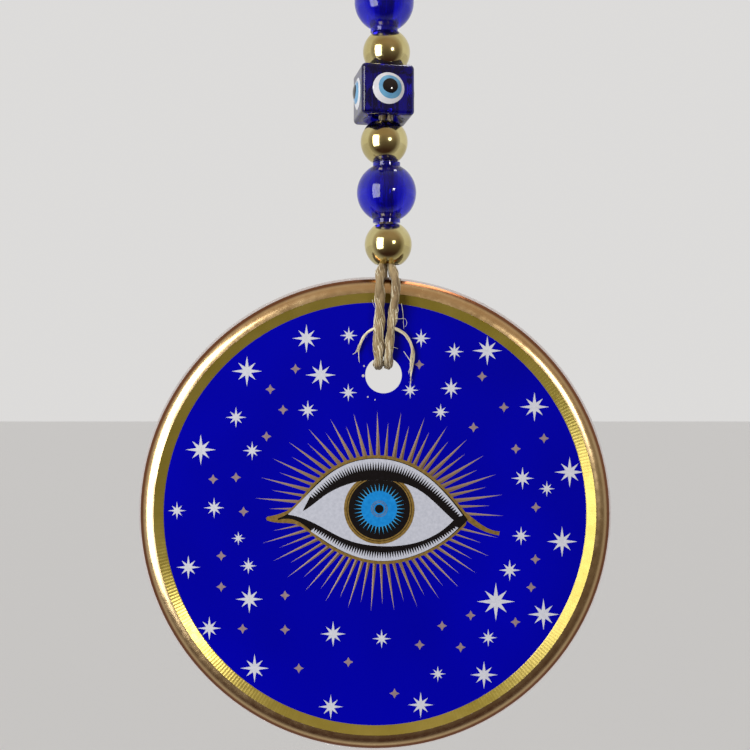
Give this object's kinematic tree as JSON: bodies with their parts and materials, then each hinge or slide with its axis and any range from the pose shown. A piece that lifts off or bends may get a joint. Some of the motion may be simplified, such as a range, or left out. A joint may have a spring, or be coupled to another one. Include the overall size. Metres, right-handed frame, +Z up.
{
  "type": "evil eye ornament",
  "caption": "Hanging round glass charm with a printed eye and stars inside a gilt rim, on jute twine under gold, cobalt and cube beads.",
  "frame": {"origin": "top of the nail, where the hanging loop bears on it", "axes": "+Z up along the bead string, the printed face looks to -Y, +X to the viewer's right"},
  "size_m": [0.1, 0.0134, 0.218],
  "materials": {
    "clear_glass": "polished, fire-rounded edge",
    "blue_enamel": "high gloss",
    "gilt": "fired gold lustre, mirror bright",
    "gold_ink": "printed metallic gold",
    "taupe_ink": "printed, satin",
    "black_ink": "printed, gloss",
    "white_ink": "printed, gloss",
    "sky_ink": "printed, gloss",
    "iris_ink": "printed, gloss",
    "cobalt_glass": "polished lamp-worked glass",
    "white_glass": "opaque, polished",
    "sky_glass": "opaque, polished",
    "black_glass": "opaque, polished",
    "gold_plate": "vacuum-metallised gold, mirror with fine scuffs",
    "jute": "three-ply natural twine"
  },
  "bodies": {
    "hanger": {"hanging_loop": "jute", "hanging_knot": "jute", "twine_end_left": "jute", "twine_end_right": "jute"},
    "string": {"bead_strand_1": "jute", "bead_strand_2": "jute", "bead_strand_3": "jute", "bead_strand_4": "jute"},
    "gold_bead_1": {"gold_bead_1": "gold_plate"},
    "gold_bead_2": {"gold_bead_2": "gold_plate"},
    "gold_bead_3": {"gold_bead_3": "gold_plate"},
    "gold_bead_4": {"gold_bead_4": "gold_plate"},
    "cobalt_bead_1": {"cobalt_bead_1": "cobalt_glass"},
    "cobalt_bead_2": {"cobalt_bead_2": "cobalt_glass"},
    "cube_bead": {"cube_bead": "cobalt_glass", "cube_eye_whites": "white_glass", "cube_eye_blues": "sky_glass", "cube_eye_pupils": "black_glass"},
    "swivel": {"gathered_strands": "jute"},
    "disc": {"glass_disc": "clear_glass", "blue_enamel": "blue_enamel", "gilt_roll": "gilt", "gilt_band": "gilt", "gold_outline": "gold_ink", "gold_rays_upper": "gold_ink", "gold_rays_lower": "gold_ink", "black_lids": "black_ink", "upper_lashes": "white_ink", "lower_lashes": "white_ink", "white_of_eye": "white_ink", "iris_ring": "gold_ink", "iris": "black_ink", "iris_flare": "sky_ink", "iris_blue": "iris_ink", "pupil_rings": "gold_ink", "pupil": "black_ink", "white_stars": "white_ink", "gold_stars": "taupe_ink", "sling_left": "jute", "sling_right": "jute", "frayed_ply_left": "jute", "frayed_ply_right": "jute"}
  },
  "joints": [
    {"name": "string_sway", "type": "hinge", "parent": "hanger", "child": "string", "pos_m": [0, 0, -0.04238], "axis": [0, 1, 0], "range_deg": [-20, 20]},
    {"name": "gold_bead_1_spin", "type": "hinge", "parent": "string", "child": "gold_bead_1", "pos_m": [0.0004, 0, -0.1092], "axis": [0, 0, 1], "continuous": true},
    {"name": "cobalt_bead_1_spin", "type": "hinge", "parent": "string", "child": "cobalt_bead_1", "pos_m": [0.00005, 0, -0.0982], "axis": [0, 0, 1], "continuous": true},
    {"name": "gold_bead_2_spin", "type": "hinge", "parent": "string", "child": "gold_bead_2", "pos_m": [-0.00045, 0, -0.08748], "axis": [0, 0, 1], "continuous": true},
    {"name": "cube_bead_spin", "type": "hinge", "parent": "string", "child": "cube_bead", "pos_m": [0, 0, -0.07753], "axis": [0, 0, 1], "continuous": true},
    {"name": "gold_bead_3_spin", "type": "hinge", "parent": "string", "child": "gold_bead_3", "pos_m": [0.00005, 0, -0.06845], "axis": [0, 0, 1], "continuous": true},
    {"name": "cobalt_bead_2_spin", "type": "hinge", "parent": "string", "child": "cobalt_bead_2", "pos_m": [-0.00045, 0, -0.05783], "axis": [0, 0, 1], "continuous": true},
    {"name": "gold_bead_4_spin", "type": "hinge", "parent": "string", "child": "gold_bead_4", "pos_m": [0, 0, -0.04718], "axis": [0, 0, 1], "continuous": true},
    {"name": "disc_turn", "type": "hinge", "parent": "string", "child": "swivel", "pos_m": [0, 0, -0.1141], "axis": [0, 0, 1], "range_deg": [-90, 90]},
    {"name": "disc_swing", "type": "hinge", "parent": "swivel", "child": "disc", "pos_m": [0, 0, -0.1141], "axis": [1, 0, 0], "range_deg": [-30, 15]}
  ]
}
